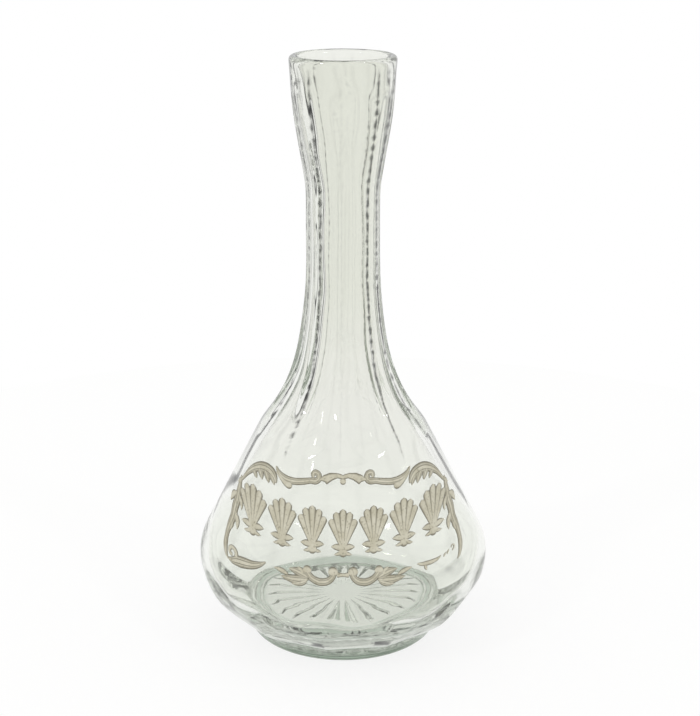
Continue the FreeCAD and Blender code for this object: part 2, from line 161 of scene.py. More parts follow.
# The pressed foot and rim have crisper bends than the cone and neck between them.
crisp = soften(outside, 0.45)
easy = soften(outside, 2.6)
blend = even_share(crisp[:, 1], 60.0, 80.0) * even_share(crisp[:, 1], 206.0, 202.0)
outside = crisp + (blend * blend * (3 - 2 * blend))[:, None] * (easy - crisp)
outside[:, 1] = np.clip(outside[:, 1], 0, bottle_height)
inside = soften(inside, 2.2)
inside[0] = [15.25, 207.2]              # closes on to the round of the rim
underside = soften(underside, 0.35)
underside[:, 1] = np.clip(underside[:, 1], 0, None)


def rows_of(path, stops, counts):
    """Mesh rows along a path: between two stops, which are shares of its length, the rows
    are evenly spaced, with counts saying how many."""
    run = run_along(path)
    wanted = np.concatenate([
        np.linspace(low, high, count, endpoint=False) * run[-1]
        for low, high, count in zip(stops[:-1], stops[1:], counts)] + [[run[-1]]])
    return np.stack([np.interp(wanted, run, path[:, n]) for n in (0, 1)], 1)


under_rows = rows_of(underside, [0, 0.88, 1], [30, 8])[1:]
out_rows = rows_of(outside, [0, 0.03, 0.17, 0.37, 0.56, 0.72, 0.93, 0.975, 1],
                   [8, 34, 20, 56, 64, 56, 8, 12])[1:]
in_rows = rows_of(inside, [0, 0.17, 0.30, 0.50, 0.66, 0.86, 1], [24, 18, 26, 12, 24, 8])[:-1]

# Mesh columns round the bottle, with one on each ridge of the neck.
columns = 240
neck_ridge_turn = -2.0
turn = np.radians(neck_ridge_turn + np.arange(columns) * 360.0 / columns)


def from_middle(turns, first_edge, count):
    """Angle from the middle of the nearest of count even parts of the circle: the rest of
    the angle past that part's edge, less half a part."""
    step = 2.0 * math.pi / count
    return (turns - math.radians(first_edge)) % step - 0.5 * step


def soft_least(one, other, sharpness):
    """Smaller of two lengths, rounded where they are alike: a log of summed powers."""
    low = np.minimum(one, other)
    return low - np.log1p(np.exp(-sharpness * np.abs(one - other))) / sharpness


def swell(turns, heights, seed, finest):
    """Gentle unevenness of hand-worked glass, about -1 to 1: a sum of twelve waves that
    each run round the bottle a whole number of times and along it at a random length."""
    draw = np.random.default_rng(seed)
    total = 0.0
    for n in range(12):
        total = total + np.sin(
            draw.integers(1, 7) * turns
            + 2.0 * math.pi * heights / (finest * draw.uniform(1.0, 5.0))
            + draw.uniform(0.0, 6.28))
    return total / 4.5


def skin_swell(turns, heights):
    """Unevenness of the outer skin in mm: waves of 0.05 mm that fade out in the lowest 8."""
    return 0.05 * even_share(heights, 0.0, 8.0) * swell(turns, heights, 3, 14.0)


def ring_points(rows, radius, turns, lift=0.0, aside=0.0):
    """Rows of points round the axis, in metres: the label faces -Y."""
    across = radius * np.sin(turns) + aside
    up = rows[:, 1:] + lift + np.zeros_like(across)
    return np.stack([across, -radius * np.cos(turns), up], 2) * MM


# Star under the base: each ray is highest along its middle and falls evenly to its sides.
star_rays = 24
star_turn = 7.0
ray_rise = 1.5
under_reach = under_rows[:, :1]
ray_angle = from_middle(turn, star_turn - 0.5 * 360.0 / star_rays, star_rays)[None, :]
ray_half = np.interp(under_reach, [6.5, 25.0, 29.5], [0.0, 2.75, 0.0])
ray_height = ray_rise * np.interp(under_reach, [6.5, 25.0, 29.8], [0.0, 1.0, 0.0])
off_ray = np.abs(under_reach * np.sin(ray_angle))
ray = ray_height * np.clip(1.0 - off_ray / np.maximum(ray_half, 1e-6), 0.0, 1.0)
under = ring_points(under_rows, under_reach, turn[None, :], ray)

# Flats: a wall cut by planes that lie a little inside the ridges.  Up the neck the columns
# crowd towards the ridges, where the seams need them.  Tables give a depth for a height.
neck_flats = 8
bowl_flats = 12
bowl_ridge_turn = 22.0
neck_crispness = 9.0
bowl_crispness = 2.4
crowding = 0.72
flats_parting = 50.0        # the neck's flats are all above this height, the bowl's below
ridge, up = out_rows[:, :1], out_rows[:, 1:]
from_ridge = neck_flats * (turn - math.radians(neck_ridge_turn))
out_turn = turn - crowding * even_share(up, 66.0, 78.0) * np.sin(from_ridge) / neck_flats
neck_depth = np.interp(up, [70, 74.5, 80, 88, 100, 125, 185, 197, 202, 206],
                       [-2.0, -0.3, 0.9, 1.45, 1.35, 0.95, 0.95, 0.6, -0.1, -1.0])
bowl_depth = np.interp(up, [0.0, 3.5, 5.2, 7.0, 13.0, 18.0, 22.0, 26.0, 30.0],
                       [-1.5, -0.6, 0.9, 1.35, 1.6, 1.3, 0.5, -0.3, -2.0])
neck_face = (ridge - neck_depth) / np.cos(from_middle(out_turn, neck_ridge_turn, neck_flats))
bowl_face = (ridge - bowl_depth) / np.cos(from_middle(out_turn, bowl_ridge_turn, bowl_flats))
radius = np.where(up > flats_parting, soft_least(ridge, neck_face, neck_crispness),
                  soft_least(ridge, bowl_face, bowl_crispness))
smooth_rim = even_share(up, bottle_height - 3.0, bottle_height - 7.0)
radius = radius + smooth_rim * skin_swell(out_turn, up)

# Seams: along each ridge of the neck runs a ragged raised line, left by the mould and
# beaded by the fire.  The table gives each its degrees aside, its strength and its width.
seam_table = np.array([
    [0.0, 0.08, 1.0], [-2.5, 1.00, 1.0], [-15.0, 1.00, 1.9], [0.0, 0.75, 1.0],
    [0.0, 0.12, 1.0], [0.0, 0.75, 1.0], [17.0, 0.75, 1.5], [8.0, 1.00, 1.0]])
seam_rise = 0.10
seam_waver = 0.14
nearest = np.round(from_ridge / (2.0 * math.pi)).astype(int) % neck_flats
seam_turn, seam_strength, seam_spread = seam_table[nearest].T
half_flat = math.pi / neck_flats
off_ridge = (out_turn - math.radians(neck_ridge_turn) + half_flat) % (2.0 * half_flat)
off_ridge = ridge * (off_ridge - half_flat)
ragged = swell(nearest[None, :] * 1.7, up, 21, 1.1)
waver = seam_waver * swell(nearest[None, :] * 2.3, up, 22, 4.0)
seam_middle = ridge * np.radians(seam_turn) + waver
seam_width = seam_spread * (0.36 + 0.14 * ragged) * (1.0 + 0.5 * even_share(up, 150.0, 180.0))
seam_length = even_share(up, 72.0, 82.0) * even_share(up, 207.0, 203.0)
seam = np.exp(-((off_ridge - seam_middle) / seam_width) ** 2) * seam_length * seam_strength
radius = radius + seam_rise * seam
# painted shade: how dark the seams are painted into the glass's colour, where their beads would
# turn the light away
seam_painted_shade = np.clip(1.5 * seam * (0.8 + 0.5 * ragged), 0.0, 1.0)
outer = ring_points(out_rows, radius, out_turn)

# The inner wall is blown free: uneven all over, and up to 1.5 mm to the right in the neck.
# Where it is narrower than 30 mm in radius, it bulges by two parts in a hundred at most.
bore, bore_up = in_rows[:, :1], in_rows[:, 1:]
shift = np.interp(bore_up, [60, 95, 150, 175, 200, 207], [0.0, 1.2, 1.5, 1.2, 0.5, 0.0])
wobble = np.interp(bore_up, [13, 16, 60, 100, 200, 206], [0.0, 0.25, 0.25, 0.12, 0.16, 0.0])
inner_radius = bore + wobble * swell(turn, bore_up, 12, 11.0)
inner_radius = np.where(bore < 30.0, np.minimum(inner_radius, bore * 1.02), inner_radius)
inner = ring_points(in_rows, inner_radius, turn[None, :], aside=shift)


def skin_of(rings, first_pole, last_pole):
    """Closed mesh data: a grid of rings whose ends are drawn together to two poles."""
    count, wide = rings.shape[:2]
    here = np.arange(count * wide).reshape(count, wide)
    over = np.roll(here, -1, axis=1)
    quads = np.stack([here[:-1], over[:-1], over[1:], here[1:]], 2).reshape(-1, 4)
    start = count * wide
    head = np.stack([np.full(wide, start), over[0], here[0]], 1)
    tail = np.stack([np.full(wide, start + 1), here[-1], over[-1]], 1)
    points = np.concatenate([rings.reshape(-1, 3), [first_pole, last_pole]])
    return points, [quads, head, tail]


def piece_from(name, skins, node, material, marks=()):
    """New object from closed skins, put in the scene in place of the CAD part, which it hides.
    marks are (name, values) pairs, one value for each point of all the skins in order."""
    points, loops, sizes, first = [], [], [], 0
    for skin_points, faces in skins:
        points.append(skin_points)
        for group in faces:
            loops.append((group + first).ravel())
            sizes.append(np.full(len(group), group.shape[1]))
        first += len(skin_points)
    points, loops, sizes = map(np.concatenate, (points, loops, sizes))
    mesh = bpy.data.meshes.new(name)
    mesh.vertices.add(len(points))
    mesh.vertices.foreach_set("co", points.astype(np.float32).ravel())
    mesh.loops.add(len(loops))
    mesh.loops.foreach_set("vertex_index", loops.astype(np.int32))
    mesh.polygons.add(len(sizes))
    starts = np.concatenate([[0], np.cumsum(sizes)[:-1]]).astype(np.int32)
    mesh.polygons.foreach_set("loop_start", starts)
    mesh.polygons.foreach_set("use_smooth", np.ones(len(sizes), bool))
    mesh.update(calc_edges=True)
    for mark, values in marks:
        layer = mesh.attributes.new(mark, "FLOAT", "POINT")
        layer.data.foreach_set("value", np.concatenate(values).astype(np.float32))
    mesh.validate()
    mesh.materials.append(material)
    piece = bpy.data.objects.new(name, mesh)
    bpy.context.scene.collection.objects.link(piece)
    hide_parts(node)
    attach(piece, "root")


def linear(code):
    """Linear colour of an sRGB hex value: the usual curve with its straight foot."""
    part = np.array([int(code[n:n + 2], 16) for n in (1, 3, 5)]) / 255.0
    curve = np.where(part <= 0.04045, part / 12.92, ((part + 0.055) / 1.055) ** 2.4)
    return tuple(curve) + (1.0,)


def blank_tree(owner):
    """The emptied node tree of a material or a world."""
    owner.use_nodes = True
    owner.node_tree.nodes.clear()
    return owner.node_tree


def add(tree, kind, settings=(), links=()):
    """Adds a node: settings are (name, value) pairs, links are (input, output socket)."""
    node = tree.nodes.new(kind)
    for name, value in settings:
        if isinstance(name, str) and hasattr(node, name):
            setattr(node, name, value)
        else:
            node.inputs[name].default_value = value
    for name, socket in links:
        tree.links.new(socket, node.inputs[name])
    return node


# Soda-lime glass, pressed and fire-polished: clear, of index 1.52, under a glossy skin
# without scratches.  The skin has faint waves of about 14 mm that bend the light a little.
# Green-grey shows only in depth, in the thick foot; along the neck's outline the colour is
# darkened to nearly black as painted shade.
glass = bpy.data.materials.new("soda_lime_glass_pressed")
tree = blank_tree(glass)
on_glass = add(tree, "ShaderNodeTexCoord")
waves = add(tree, "ShaderNodeTexNoise", [("Scale", 70.0), ("Detail", 1.0)],
            [("Vector", on_glass.outputs["Object"])])
wavy_skin = add(tree, "ShaderNodeBump", [("Strength", 0.18), ("Distance", 0.00015)],
                [("Height", waves.outputs["Fac"])])
axes = add(tree, "ShaderNodeSeparateXYZ", links=[(0, on_glass.outputs["Object"])])
height_share = add(tree, "ShaderNodeMath", [("operation", "DIVIDE"), (1, bottle_height * MM)],
                   [(0, axes.outputs["Z"])])

# painted shade: where the neck is seen edge-on its colour is darkened to nearly black, standing in
# for its dark outline
grazing = add(tree, "ShaderNodeLayerWeight", [("Blend", 0.35)])
outline = add(tree, "ShaderNodeValToRGB", links=[("Fac", grazing.outputs["Facing"])])
for stop, spot, code in zip(outline.color_ramp.elements, (0.53, 0.74), ("#FFFFFF", "#0E130F")):
    stop.position = spot
    stop.color = linear(code)
neck_share = add(tree, "ShaderNodeMapRange",
                 [("From Min", 0.27), ("From Max", 0.38), ("To Min", 0.0), ("To Max", 1.0)],
                 [("Value", height_share.outputs[0])])
neck_outline_painted_shade = add(tree, "ShaderNodeMix", [("data_type", "RGBA"), (6, (1, 1, 1, 1))],
                   [(0, neck_share.outputs[0]), (7, outline.outputs["Color"])])

# the foot is greener than the rest, but not the star in its recess
tone = add(tree, "ShaderNodeValToRGB", links=[("Fac", height_share.outputs[0])])
for spot, code in ((0.018, "#9FAE9F"), (0.028, "#F6F8F3"), (0.40, "#F8F8F5"), (0.60, "#F0F1EB")):
    stop = tone.color_ramp.elements.new(spot)
    stop.color = linear(code)
tone.color_ramp.elements[0].color = linear("#9FAE9F")
tone.color_ramp.elements[-1].color = linear("#F0F1EB")
star_mark = add(tree, "ShaderNodeAttribute", [("attribute_name", "underside")])
starred = add(tree, "ShaderNodeMix", [("data_type", "RGBA"), (7, linear("#DADDD6"))],
              [(0, star_mark.outputs["Fac"]), (6, tone.outputs["Color"])])
toned = add(tree, "ShaderNodeMix", [("data_type", "RGBA"), ("blend_type", "MULTIPLY"), (0, 1.0)],
            [(6, neck_outline_painted_shade.outputs[2]), (7, starred.outputs[2])])

# painted shade: along the beads of the seams the glass's colour is darkened to nearly black, where
# the beads would turn the light away
seam_shade_mark = add(tree, "ShaderNodeAttribute", [("attribute_name", "seam")])
seam_shade_share = add(tree, "ShaderNodeMath", [("operation", "MULTIPLY"), (1, 0.97)],
                 [(0, seam_shade_mark.outputs["Fac"])])
seam_shaded = add(tree, "ShaderNodeMix", [("data_type", "RGBA"), (7, linear("#0C0F0C"))],
             [(0, seam_shade_share.outputs[0]), (6, toned.outputs[2])])
clear_glass = add(tree, "ShaderNodeBsdfPrincipled",
                  [("Roughness", 0.0), ("IOR", 1.52), ("Transmission Weight", 1.0)],
                  [("Base Color", seam_shaded.outputs[2]), ("Normal", wavy_skin.outputs["Normal"])])
depth = add(tree, "ShaderNodeVolumeAbsorption",
            [("Color", (0.75, 0.775, 0.73, 1.0)), ("Density", 16.0)])
add(tree, "ShaderNodeOutputMaterial",
    links=[("Surface", clear_glass.outputs[0]), ("Volume", depth.outputs[0])])

# Both marks go ring by ring, and end with a value for each pole.
no_ray, no_seam, no_bore = map(np.zeros_like, (ray, seam, inner_radius))
# the seam mark carries the painted shade of the seams
seam_shade_marks = np.concatenate([no_ray, seam_painted_shade, no_bore]).ravel()
star_marked = np.concatenate([
    even_share(under_reach, 31.0, 29.0) + no_ray, no_seam, no_bore]).ravel()
base_pole = (0.0, 0.0, recess_height * MM)
floor_pole = (0.0, 0.0, floor_height * MM)
bottle_skin = skin_of(np.concatenate([under, outer, inner]), base_pole, floor_pole)
piece_from("bottle_glass", [bottle_skin], "glass_body", glass,
           [("seam", [seam_shade_marks, [0.0, 0.0]]), ("underside", [star_marked, [1.0, 0.0]])])

# ---- Enamel crest ----------------------------------------------------------
# The label is one grey-beige vitreous enamel, printed on the blown cone through a stencil,
# then fired until it fused to the glass; it stands 0.2 mm proud.  The crest is its winged
# middle at the top: a band with a hump over each wing, a cusp under it and a drop between.
enamel_lift = 0.20
enamel_root = 0.05          # how deep its edges are fused into the glass
enamel_bed = 1.4 * enamel_root
glass_up = outside[:, 1]
glass_wide = outside[:, 0]


def on_cone(spots, lift):
    """Places of the label on the glass, in metres: a spot (across, up) seen straight from
    the front, moved out by lift along the slope of the glass there."""
    across, up = spots[..., 0], spots[..., 1]
    wide = np.interp(up, glass_up, glass_wide)
    turns = np.arcsin(across / wide)
    wide = wide + skin_swell(turns, up)
    slope = np.interp(up + 0.5, glass_up, glass_wide) - np.interp(up - 0.5, glass_up, glass_wide)
    level = 1.0 / np.sqrt(1.0 + slope ** 2)
    reach = wide + lift * level
    drop = lift * slope * level
    return np.stack([reach * np.sin(turns), -reach * np.cos(turns), up - drop], -1) * MM


def band(left, right, crown=6.0, lift=enamel_lift):
    """Closed relief between two edges: across it, the height falls from the middle to the
    edges as one minus a power of the distance, and the underside lies level in the glass.
    Also gives for each point that distance, from -1 to 1, and 1 where it lies below."""
    over = np.sin(np.linspace(-0.5, 0.5, 9) * math.pi)
    back = over[-2:0:-1]
    across = np.concatenate([over, back])
    beneath = np.concatenate([np.zeros_like(over), np.ones_like(back)])
    height = np.concatenate([lift - (lift + enamel_root) * np.abs(over) ** crown,
                             np.full_like(back, -enamel_bed)])
    share = 0.5 + 0.5 * across[None, :, None]
    rings = on_cone(left[:, None] * (1 - share) + right[:, None] * share, height[None, :])
    ends = on_cone(0.5 * (left + right)[[0, -1]], np.zeros(2))
    return (skin_of(rings, *ends),
            np.append(np.tile(across, len(left)), [1.0, 1.0]),
            np.append(np.tile(beneath, len(left)), [0.0, 0.0]))


def ball(centre, radius):
    """Round boss: the width along it is the chord of a circle."""
    s = -np.cos(np.linspace(0.0, math.pi, 13))
    half = np.sqrt(np.maximum(1 - s ** 2, 0.0)) * radius
    left = np.stack([centre[0] + s * radius, centre[1] - half], 1)
    right = np.stack([centre[0] + s * radius, centre[1] + half], 1)
    return band(left, right, 3.0, 1.15 * enamel_lift)


# Vitreous enamel, screened and fired: matt, with clouds of about 4 mm and grains of about
# 0.6 mm.  Each band turns darker in a line along its edges, the larger ones carry two
# fine engraved lines, and the side that is fused to the glass looks paler from behind.
enamel = bpy.data.materials.new("vitreous_enamel_fired")
tree = blank_tree(enamel)
on_enamel = add(tree, "ShaderNodeTexCoord")
clouds = add(tree, "ShaderNodeTexNoise", [("Scale", 260.0), ("Detail", 2.0)],
             [("Vector", on_enamel.outputs["Object"])])
grains = add(tree, "ShaderNodeTexNoise", [("Scale", 1600.0), ("Detail", 2.0)],
             [("Vector", on_enamel.outputs["Object"])])
cloudy = add(tree, "ShaderNodeValToRGB", links=[("Fac", clouds.outputs["Fac"])])
for stop, spot, code in zip(cloudy.color_ramp.elements, (0.35, 0.68), ("#C4BFA9", "#D5D1BE")):
    stop.position = spot
    stop.color = linear(code)
specks = add(tree, "ShaderNodeValToRGB", links=[("Fac", grains.outputs["Fac"])])
for stop, spot, code in zip(specks.color_ramp.elements, (0.30, 0.42), ("#B8B4A8", "#FFFFFF")):
    stop.position = spot
    stop.color = linear(code)
grainy = add(tree, "ShaderNodeMix", [("data_type", "RGBA"), ("blend_type", "MULTIPLY"), (0, 0.8)],
             [(6, cloudy.outputs["Color"]), (7, specks.outputs["Color"])])

# edge lines and engraved lines, by the distance from the band's middle
across_mark = add(tree, "ShaderNodeAttribute", [("attribute_name", "across")])
off_middle = add(tree, "ShaderNodeMath", [("operation", "ABSOLUTE")],
                 [(0, across_mark.outputs["Fac"])])
edge_line = add(tree, "ShaderNodeMapRange", [("From Min", 0.48), ("From Max", 0.86)],
                [("Value", off_middle.outputs[0])])
past_cut = add(tree, "ShaderNodeMath", [("operation", "SUBTRACT"), (1, 0.36)],
               [(0, off_middle.outputs[0])])
off_cut = add(tree, "ShaderNodeMath", [("operation", "ABSOLUTE")], [(0, past_cut.outputs[0])])
cut_line = add(tree, "ShaderNodeMapRange", [("From Min", 0.13), ("From Max", 0.03)],
               [("Value", off_cut.outputs[0])])
lined_mark = add(tree, "ShaderNodeAttribute", [("attribute_name", "lined")])
engraved = add(tree, "ShaderNodeMath", [("operation", "MULTIPLY")],
               [(0, cut_line.outputs[0]), (1, lined_mark.outputs["Fac"])])
any_line = add(tree, "ShaderNodeMath", [("operation", "MAXIMUM")],
               [(0, engraved.outputs[0]), (1, edge_line.outputs[0])])
line_share = add(tree, "ShaderNodeMath", [("operation", "MULTIPLY"), (1, 0.9)],
                 [(0, any_line.outputs[0])])
outlined = add(tree, "ShaderNodeMix", [("data_type", "RGBA"), (7, linear("#736E5D"))],
               [(0, line_share.outputs[0]), (6, grainy.outputs[2])])
fused_mark = add(tree, "ShaderNodeAttribute", [("attribute_name", "fused")])
backed = add(tree, "ShaderNodeMix", [("data_type", "RGBA"), (7, linear("#E4E0D2"))],
             [(0, fused_mark.outputs["Fac"]), (6, outlined.outputs[2])])
grainy_skin = add(tree, "ShaderNodeBump", [("Strength", 0.4), ("Distance", 0.00005)],
                  [("Height", grains.outputs["Fac"])])
matt_enamel = add(tree, "ShaderNodeBsdfPrincipled", [("Roughness", 0.55), ("IOR", 1.5)],
                  [("Base Color", backed.outputs[2]), ("Normal", grainy_skin.outputs["Normal"])])
add(tree, "ShaderNodeOutputMaterial", links=[("Surface", matt_enamel.outputs[0])])


def enamel_piece(node, bands, lined=()):
    """One ornament from its bands; lined gives the places of those with engraved lines."""
    skins, across, fused = zip(*bands)
    cuts = [np.full(len(values), float(n in lined)) for n, values in enumerate(across)]
    piece_from("enamel_" + node, skins, node, enamel,
               [("across", across), ("lined", cuts), ("fused", fused)])


crest_half = 8.2
reach = np.linspace(-1.0, 1.0, 61)
wing = np.abs(reach)
upper = np.interp(wing, [0.0, 0.05, 0.25, 0.55, 0.80, 1.0],
                  [71.45, 71.75, 72.15, 72.15, 71.35, 69.75])
lower = np.interp(wing, [0.0, 0.10, 0.22, 0.42, 0.68, 0.76, 1.0],
                  [70.2, 70.35, 70.55, 69.95, 68.5, 69.2, 69.65])
enamel_piece("crest", [
    band(np.stack([crest_half * reach, lower], 1), np.stack([crest_half * reach, upper], 1)),
    ball((0.0, 69.6), 1.05),
])

# ---- Enamel top scrolls ----------------------------------------------------
# On each side of the crest lies a C-scroll of the same fired enamel: a long engraved stroke
# that rolls up in a curl beside the crest, and a short hook that ends in a boss.
sides = (("left", 1), ("right", -1))


def smooth_line(places, per_span=8):
    """Smooth line through places (Catmull-Rom: cubic spans whose slopes are half the step
    between the neighbours), with the width as a third value."""
    places = np.asarray(places, float)
    full = np.concatenate([2 * places[:1] - places[1:2], places, 2 * places[-1:] - places[-2:-1]])
    t = np.linspace(0.0, len(places) - 1.0, per_span * (len(places) - 1) + 1)
    span = np.minimum(t.astype(int), len(places) - 2)
    u = (t - span)[:, None]
    a, b, c, d = (full[span + n] for n in range(4))
    return 0.5 * (2 * b + (c - a) * u + (2 * a - 5 * b + 4 * c - d) * u ** 2
                  + (3 * b - a - 3 * c + d) * u ** 3)


def stroke(places):
    """Stroke of a brush along a smooth line of (across, up, width), at right angles to it."""
    line = smooth_line(places)
    along = np.gradient(line[:, :2], axis=0)
    along /= np.linalg.norm(along, axis=1)[:, None] + 1e-12
    half = np.stack([-along[:, 1], along[:, 0]], 1) * np.maximum(line[:, 2:], 0.05) * 0.5
    return band(line[:, :2] - half, line[:, :2] + half)


def curl(centre, radius, start, sweep, width):
    """Places of a closing spiral: from radius at the start angle, in degrees, the distance
    shrinks evenly to a third while the line turns by sweep."""
    share = np.linspace(0.0, 1.0, 9)
    angle = np.radians(start + sweep * share)
    reach = radius * (1.0 - 0.68 * share)
    return np.stack([centre[0] + reach * np.cos(angle), centre[1] + reach * np.sin(angle),
                     width * (1.0 - 0.35 * share)], 1).tolist()


def placed(flip, places):
    """Places of a left-hand ornament, or of its mirror image where flip is -1."""
    return np.array(places, float) * np.array([flip, 1.0, 1.0][:np.shape(places)[-1]])


top_sweep = [(-23.2, 71.2, 0.5), (-22.2, 69.6, 1.7), (-20.0, 68.4, 2.4), (-16.8, 68.2, 2.2),
             (-13.6, 68.7, 2.1), (-11.3, 69.2, 1.9)]
top_curl = curl((-9.5, 70.9), 1.65, 262.0, 330.0, 2.2)
top_hook = [(-23.2, 69.5, 0.5), (-21.4, 68.3, 1.5), (-20.0, 67.2, 1.9), (-18.9, 66.6, 1.8),
            (-17.9, 66.9, 0.9)]
for side, flip in sides:
    enamel_piece("top_scroll_" + side, [
        stroke(placed(flip, top_sweep + top_curl)),
        stroke(placed(flip, top_hook)),
        ball(placed(flip, (-18.8, 66.8)), 1.25),
    ], lined=(0,))

# ---- Enamel corner leaves --------------------------------------------------
# Over each upper corner lies an acanthus leaf of the same fired enamel: an arched stem that
# swells in its middle, with four lobes that hang from it, all of them engraved.


def leaf(start, tip, width, bend=0.0):
    """Pointed leaf from start to tip: its width rises and falls as a skewed half wave, and
    its middle line bows aside by bend."""
    start, tip = np.asarray(start, float), np.asarray(tip, float)
    s = np.linspace(0.0, 1.0, 15)[:, None]
    along = tip - start
    side = np.array([-along[1], along[0]]) / np.hypot(*along)
    middle = start + along * s + side * bend * 4 * s * (1 - s)
    half = 0.5 * width * np.sin(math.pi * s ** 0.8) ** 0.8
    return band(middle - side * half, middle + side * half, 4.0)


def spray(flip, leaves):
    """Leaves of a left-hand ornament, each (start, tip, width, bend), or their mirror
    images where flip is -1."""
    return [leaf(*placed(flip, [start, tip]), width, bend * flip)
            for start, tip, width, bend in leaves]


corner_stem = [(-36.2, 61.6, 0.5), (-33.3, 65.6, 1.3), (-30.4, 68.2, 2.3), (-27.6, 69.3, 3.3),
               (-25.2, 68.9, 3.6), (-23.8, 67.6, 2.2), (-23.2, 66.2, 0.4)]
corner_lobes = [((-31.6, 67.2), (-30.3, 65.2), 1.7, 0.1), ((-29.6, 68.6), (-28.3, 65.6), 2.1, 0.2),
                ((-27.6, 69.2), (-25.9, 65.4), 2.3, 0.3), ((-25.6, 68.8), (-23.9, 65.4), 2.1, 0.3)]
for side, flip in sides:
    enamel_piece("corner_leaf_" + side,
                 [stroke(placed(flip, corner_stem))] + spray(flip, corner_lobes),
                 lined=(0, 1, 2, 3, 4))

# ---- Enamel side scrolls ---------------------------------------------------
# Down each side of the label runs an S-shaped stroke of the same fired enamel, engraved
# along its length, with five plain leaves that branch off it on both sides.
side_stem = [(-36.0, 62.8, 0.5), (-36.8, 59.4, 1.6), (-37.3, 56.4, 2.3), (-38.2, 53.6, 2.4),
             (-38.8, 50.8, 2.3), (-40.2, 47.6, 1.8), (-41.1, 44.8, 1.5), (-41.5, 42.0, 1.7),
             (-41.1, 39.8, 1.2), (-40.2, 38.7, 0.4)]
side_leaves = [((-37.5, 57.8), (-40.0, 54.2), 1.5, -0.4), ((-36.9, 57.8), (-35.7, 54.0), 1.6, 0.4),
               ((-38.2, 52.8), (-37.2, 48.0), 1.9, 0.5), ((-39.2, 51.0), (-39.7, 46.8), 1.6, 0.2),
               ((-36.0, 62.2), (-37.4, 60.4), 1.1, 0.1)]
for side, flip in sides:
    enamel_piece("side_scroll_" + side,
                 [stroke(placed(flip, side_stem))] + spray(flip, side_leaves), lined=(0,))

# ---- Enamel bottom leaves --------------------------------------------------
# Under the shells, a spray of five leaves of the same fired enamel points outwards on each
# side: three engraved ones from one root, and two plain ones that branch off them.
bottom_leaves = [
    ((-11.8, 39.9), (-18.6, 42.0), 2.7, -0.4), ((-11.6, 39.5), (-21.4, 39.3), 2.8, 0.4),
    ((-12.0, 39.2), (-17.6, 37.6), 2.1, 0.3), ((-18.6, 40.0), (-23.8, 41.4), 1.6, -0.3),
    ((-13.4, 40.6), (-15.6, 42.9), 1.6, -0.3)]
for side, flip in sides:
    enamel_piece("bottom_leaf_" + side, spray(flip, bottom_leaves), lined=(0, 1, 2))

# ---- Enamel bottom scrolls and knot ----------------------------------------
# Between the sprays hang two C-scrolls of the same fired enamel with a boss at each end,
# and the knot ties them together: a short band that is pinched in the middle.
bottom_sweep = [(-12.7, 42.7, 1.0), (-12.0, 41.5, 1.9), (-10.5, 39.9, 2.2), (-8.1, 39.0, 2.4),
                (-5.6, 39.2, 2.3), (-3.9, 40.2, 2.1), (-3.2, 41.5, 1.8), (-3.6, 42.7, 1.0)]
for side, flip in sides:
    enamel_piece("bottom_scroll_" + side, [
        stroke(placed(flip, bottom_sweep)),
        ball(placed(flip, (-12.2, 42.2)), 1.45),
        ball(placed(flip, (-3.4, 42.1)), 1.65),
    ], lined=(0,))

knot_up = 41.3
knot_half = 2.1
reach = np.linspace(-1.0, 1.0, 25)
half = 0.55 + 0.45 * reach ** 2 - 0.85 * reach ** 16
enamel_piece("bottom_knot", [
    band(np.stack([knot_half * reach, knot_up - half], 1),
         np.stack([knot_half * reach, knot_up + half], 1)),
])

# ---- Enamel bottom horns ---------------------------------------------------
# A horn of the same fired enamel lies in each lower corner.  The left one is whole, an
# engraved body with a curl at its outer end; of the right one, wear has left a few crumbs.
enamel_piece("bottom_horn_left", [
    stroke([(-40.0, 38.9, 0.9), (-38.6, 38.9, 2.0), (-36.6, 39.4, 3.2), (-34.2, 39.7, 3.2),
            (-31.2, 40.1, 2.5), (-28.8, 40.9, 1.7), (-26.6, 42.1, 0.5)]),
    stroke(curl((-38.9, 41.1), 1.75, -25.0, 310.0, 1.5)),
], lined=(0,))
enamel_piece("bottom_horn_right", [
    stroke([(25.6, 41.9, 0.5), (27.4, 41.4, 1.2), (30.2, 41.2, 1.4), (32.8, 41.4, 1.0),
            (34.0, 41.9, 0.3)]),
    leaf((28.2, 41.0), (28.9, 39.2), 1.1),
    leaf((35.0, 41.2), (36.0, 42.3), 0.7),
    leaf((36.3, 41.5), (37.0, 42.7), 0.7),
    stroke(curl((38.3, 42.8), 0.9, 270.0, 280.0, 0.55)),
])

# ---- Enamel shells ---------------------------------------------------------
# A row of seven plain shells of the same fired enamel crosses the label.  Each has five
# flutes that spread from a boss, with two small leaves on each side of their root.
shell_spacing = 10.498
middle_root = 48.1          # height of the middle shell's root
root_rise = 0.65            # each shell further out sits higher by this
flute_length = 13.1
flutes = ((-23.0, 0.83), (23.0, 0.83), (-11.5, 0.95), (11.5, 0.95), (0.0, 1.0))


def flute(root, length, lean):
    """Flute of a shell: it widens evenly from the root, then closes in a round tip."""
    s = np.linspace(0.0, 1.0, 22)
    closing = np.clip((1.0 - s) / 0.13, 0.0, 1.0)
    half = 0.5 * (0.35 + 2.55 * s) * np.sqrt(1.0 - (1.0 - closing) ** 2)
    ahead = np.array([math.sin(lean), math.cos(lean)])
    aside = np.array([ahead[1], -ahead[0]]) * half[:, None]
    middle = root + ahead * (length * s)[:, None]
    return band(middle + aside, middle - aside, 2.6, 1.1 * enamel_lift)


for n in range(7):
    from_centre = n - 3
    root = np.array([shell_spacing * from_centre, middle_root + root_rise * abs(from_centre)])
    shell = [flute(root, flute_length * share, math.radians(lean)) for lean, share in flutes]
    for hand in (-1, 1):
        shell.append(leaf(root + [hand * 0.2, 1.0], root + [hand * 4.1, 1.6], 2.1, 0.3 * hand))
        shell.append(leaf(root + [hand * 0.4, 0.1], root + [hand * 3.1, -0.7], 1.2, -0.2 * hand))
    shell.append(ball(root, 1.5))
    enamel_piece("shell_%d" % (n + 1), shell)

